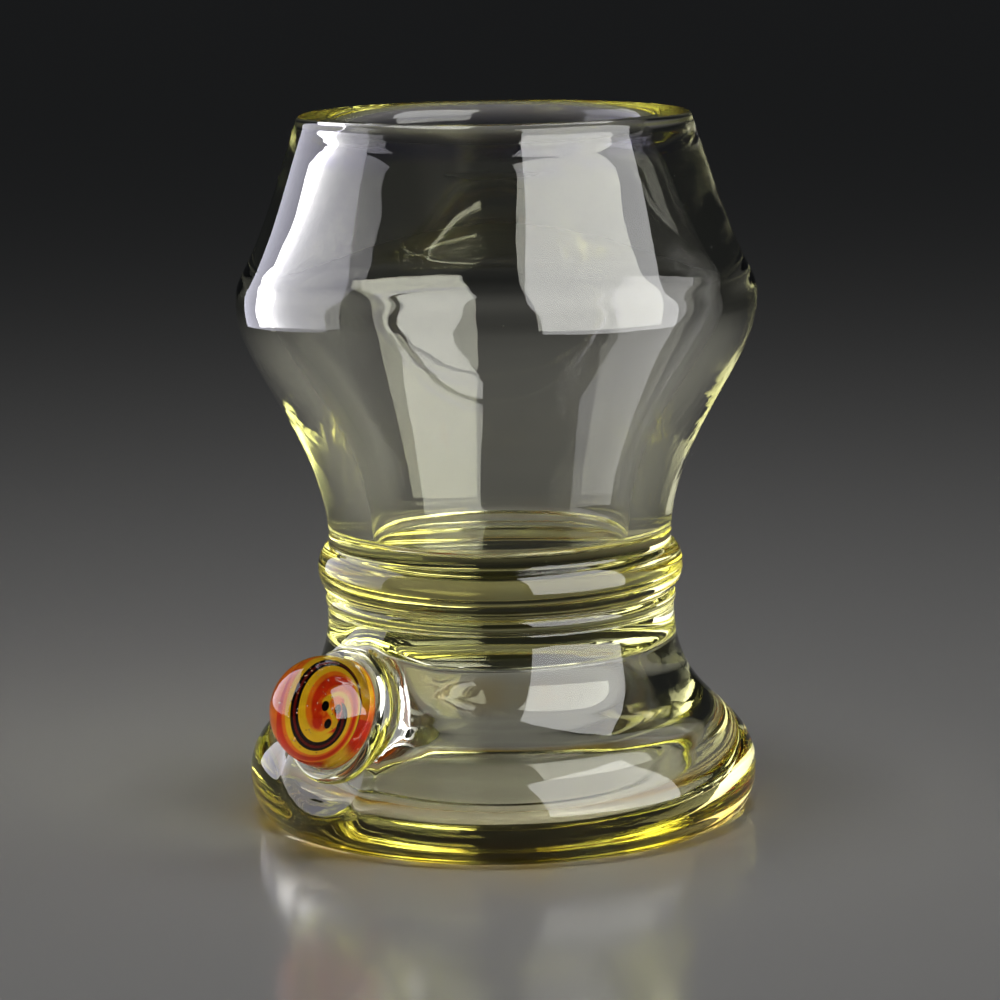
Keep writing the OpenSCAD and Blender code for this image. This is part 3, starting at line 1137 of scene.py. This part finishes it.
@dataclass(frozen=True)
class SwirlGlass:
    """Opaque coloured glass of the swirl, under the clear dome."""

    node: str
    stripes: tuple[Stripe, ...] = STRIPES
    lay: Lay = Lay.WOUND
    mottle: float = 0.25
    wander: float = 3.0
    flecks: float = 0.3
    dark_step: Pair = (0.72, 0.3)
    base: Colour | None = None

    def make(self, swirl: SwirlField) -> Material:
        """Makes the material.

        Args:
            swirl: The field that the pattern follows.

        Returns:
            The material.
        """
        material = bpy.data.materials.new(self.node + "_glass")
        material.use_nodes = True
        net = Net(material.node_tree)
        at = net.node("ShaderNodeGroup", {"Wander": self.wander}, node_tree=swirl.tree).outputs
        colour = self.pattern(net, at) if self.base is None else (*self.base, 1)
        dark = net.eased(at["Cloud"], *self.dark_step)
        shaded = net.mixed(net.math("MULTIPLY", dark, self.mottle), colour, (*SOOT, 1), "MULTIPLY")
        flecked = net.mixed(net.math("MULTIPLY", at["Fleck"], self.flecks), shaded, (*CREAM, 1))
        surface = net.tree.nodes["Principled BSDF"]
        net.tree.links.new(flecked, surface.inputs["Base Color"])
        surface.inputs["Specular IOR Level"].default_value = 0
        surface.inputs["Roughness"].default_value = 1
        return material

    def pattern(self, net: Net, at: bpy.types.bpy_prop_collection) -> Socket:
        """Lays the stripes out round their turn, each blended into the next.

        Args:
            net: The material's tree.
            at: Outputs of the swirl field.

        Returns:
            The colour.
        """
        ramp = net.node("ShaderNodeValToRGB", {"Fac": at[self.lay.value]})
        marks = ramp.color_ramp.elements
        while len(marks) > 1:
            marks.remove(marks[-1])
        marks[0].position, marks[0].color = 0, (*self.stripes[0].colour, 1)
        for stripe, after in zip(self.stripes, self.stripes[1:] + self.stripes[:1]):
            half = stripe.blend / 2
            for place, tone in ((stripe.stop - half, stripe.colour), (stripe.stop + half, after.colour)):
                if place < 360:
                    marks.new(place / 360).color = (*tone, 1)
        if self.lay is Lay.STRAIGHT:
            return ramp.outputs[0]
        last_black = max(stripe.stop for stripe in self.stripes if stripe.colour == BLACK)
        past_black = net.math("GREATER_THAN", at[self.lay.value], last_black / 360)
        heart = net.math("MAXIMUM", net.math("MULTIPLY", at["Heart"], past_black), at["Dot"])
        return net.mixed(heart, ramp.outputs[0], HeartCurl().colour(net, at))


@dataclass(frozen=True)
class HeartGlass(SwirlGlass):
    """The heart of the swirl."""

    def pattern(self, net: Net, at: bpy.types.bpy_prop_collection) -> Socket:
        """Gives the heart's colour alone."""
        return HeartCurl().colour(net, at)


@dataclass(frozen=True)
class Softbox:
    """A tall studio softbox, in metres and degrees."""

    name: str
    azimuth: float
    distance: float
    width: float
    height: float
    middle: float
    power: float
    lean: float = 0.0
    tone: Colour = WHITE

    def place(self, lit: bpy.types.Collection) -> None:
        """Hangs the softbox so that it faces the glass, with azimuth 0 in front and +90 at the right.

        Args:
            lit: What the softbox shines on.
        """
        lamp = bpy.data.lights.new(self.name, "AREA")
        lamp.shape = "RECTANGLE"
        lamp.size, lamp.size_y, lamp.energy = self.width, self.height, self.power
        lamp.color = self.tone
        holder = added(self.name, lamp)
        turn = math.radians(self.azimuth)
        holder.location = (self.distance * math.sin(turn), -self.distance * math.cos(turn), self.middle)
        holder.rotation_euler = (math.radians(90 - self.lean), 0, turn)
        holder.visible_camera = False
        holder.light_linking.receiver_collection = lit


SOFTBOXES = (
    Softbox("softbox_right", azimuth=50, distance=0.34, width=0.45, height=0.55, middle=0.265, power=5.0,
            lean=8),
    Softbox("softbox_left", azimuth=-108, distance=0.36, width=0.45, height=0.43, middle=0.215, power=1.75,
            tone=(0.86, 0.85, 1.0)),
)


@dataclass
class Studio:
    """Floor, lights and camera, in metres and degrees."""

    floor_radius: float = 9.0
    floor_drop: float = 0.0001
    floor_colour: Colour = (0.62, 0.61, 0.6)
    floor_roughness: float = 0.16
    overhead_size: float = 0.3
    overhead_power: float = 1.0
    overhead_place: Place = (0, -0.05, 0.6)
    room_colour: Colour = (0.9, 0.95, 1)
    room_strength: float = 0.012
    eye: Place = (0.0001, -0.6327, 0.162)
    eye_down: float = 9.715
    eye_roll: float = -0.88
    lens: float = 134.75
    film: float = 36
    glass_bounces: int = 32
    glossy_bounces: int = 12
    clear_bounces: int = 16
    lit: bpy.types.Collection = field(default_factory=lambda: bpy.data.collections.new("glass_only"))

    def floor(self) -> None:
        """Lays a plain pale floor that runs on into the dark."""
        work = bmesh.new()
        bmesh.ops.create_circle(work, cap_ends=True, segments=96, radius=self.floor_radius)
        bmesh.ops.translate(work, verts=work.verts, vec=(0, 0, -self.floor_drop))
        mesh = bpy.data.meshes.new("studio_floor")
        work.to_mesh(mesh)
        work.free()
        ground = added("studio_floor", mesh)
        paint = bpy.data.materials.new("pale_floor")
        paint.use_nodes = True
        surface = paint.node_tree.nodes["Principled BSDF"]
        surface.inputs["Base Color"].default_value = (*self.floor_colour, 1)
        surface.inputs["Roughness"].default_value = self.floor_roughness
        mesh.materials.append(paint)

    def lights(self) -> None:
        """Places two softboxes for the glass, a soft lamp over the floor and a dim surround."""
        for box in SOFTBOXES:
            box.place(self.lit)
        lamp = bpy.data.lights.new("overhead", "AREA")
        lamp.size, lamp.energy = self.overhead_size, self.overhead_power
        holder = added("overhead", lamp)
        holder.location = self.overhead_place
        holder.visible_camera = holder.visible_glossy = holder.visible_transmission = False
        world = bpy.data.worlds.new("dim_room")
        world.use_nodes = True
        surround = world.node_tree.nodes["Background"]
        surround.inputs["Color"].default_value = (*self.room_colour, 1)
        surround.inputs["Strength"].default_value = self.room_strength
        bpy.context.scene.world = world

    def camera(self) -> None:
        """Sets the camera slightly above the rim's level, with a long lens."""
        lens = bpy.data.cameras.new("camera")
        lens.lens, lens.sensor_width = self.lens, self.film
        lens.clip_start = 0.01
        eye = added("camera", lens)
        eye.matrix_world = (Matrix.Translation(self.eye)
                            @ Matrix.Rotation(math.radians(90 - self.eye_down), 4, "X")
                            @ Matrix.Rotation(math.radians(self.eye_roll), 4, "Z"))
        bpy.context.scene.camera = eye

    def bounces(self) -> None:
        """Lets light cross many walls of glass, and shows colours as they are."""
        bpy.context.scene.view_settings.view_transform = "Standard"
        cycles = bpy.context.scene.cycles
        cycles.max_bounces = cycles.transmission_bounces = self.glass_bounces
        cycles.glossy_bounces = self.glossy_bounces
        cycles.transparent_max_bounces = self.clear_bounces


GOLD_FUME: Colour = (0.95, 0.68, 0.12)
BASE_FUME: Colour = (1.0, 0.56, 0.05)
VIOLET_FUME: Colour = (0.35, 0.3, 0.95)
BODY_GLASS = ClearGlass(flushes=(
    Flush(GOLD_FUME, level=43.0, spread=9.0, strength=0.5, inner=20, outer=30),
    Flush(BASE_FUME, level=0.0, spread=12.0, strength=1.0, inner=36.5, outer=41),
    Flush(VIOLET_FUME, level=116.0, spread=3.0, strength=0.5, inner=20, outer=30),
))
SWIRL_GLASSES = (
    SwirlGlass("swirl_backing", base=ORANGE, mottle=0.4),
    SwirlGlass("swirl_amber_ring", stripes=RING, lay=Lay.STRAIGHT, mottle=0.35, wander=30.0, flecks=0.4),
    SwirlGlass("swirl_yellow_stripes", mottle=0.12),
    SwirlGlass("swirl_orange_stripes", mottle=0.2),
    SwirlGlass("swirl_red_stripe", mottle=0.25, flecks=0.4),
    SwirlGlass("swirl_maroon_stripe", mottle=0.3, flecks=0.1),
    SwirlGlass("swirl_black_stripes", mottle=0.1, flecks=0.1),
    HeartGlass("swirl_heart", mottle=0.3, flecks=0.5),
    SwirlGlass("swirl_dots", base=BLACK, mottle=0.1, flecks=0.05),
)


def main() -> None:
    """Builds the glass and the studio, and reports each piece."""
    logging.basicConfig(level=logging.INFO, format="%(message)s")
    studio = Studio()
    studio.camera()
    studio.floor()
    studio.lights()
    studio.bounces()
    walls, seeds = TurnedWall(), Seeds()
    clear = BODY_GLASS.make(GlassEffects())
    vessel = Vessel(walls, clear)
    button = SwirlButton(walls, seeds, clear)
    shell = vessel.shell()
    bubbles = [vessel.cavity(), button.bubbles(), seeds.under(shell, clear, Density=2400.0, Deepest=0.0042)]
    button.draw_out(shell)
    solid = fused("glass_solid", shell, button.cap())
    button.ease_seam(solid)
    body = joined("glass_body", [solid] + bubbles)
    body.data.set_sharp_from_angle(angle=math.radians(SHARP_ANGLE))
    LOG.info("glass body: %d faces", len(body.data.polygons))
    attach(body, BODY)
    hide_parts("bowl", "waist_ring", "neck_bead", "foot_bell", "foot_disc",
                "button_setting", "button_dome")
    studio.lit.objects.link(body)
    swirl = SwirlField(button.frame)
    for finish in SWIRL_GLASSES:
        piece = frame["nodes"][finish.node]
        piece.data.materials.clear()
        piece.data.materials.append(finish.make(swirl))
        studio.lit.objects.link(piece)
        LOG.info("dressed %s", finish.node)


if __name__ == "__main__":
    main()
    bpy.context.view_layer.update()
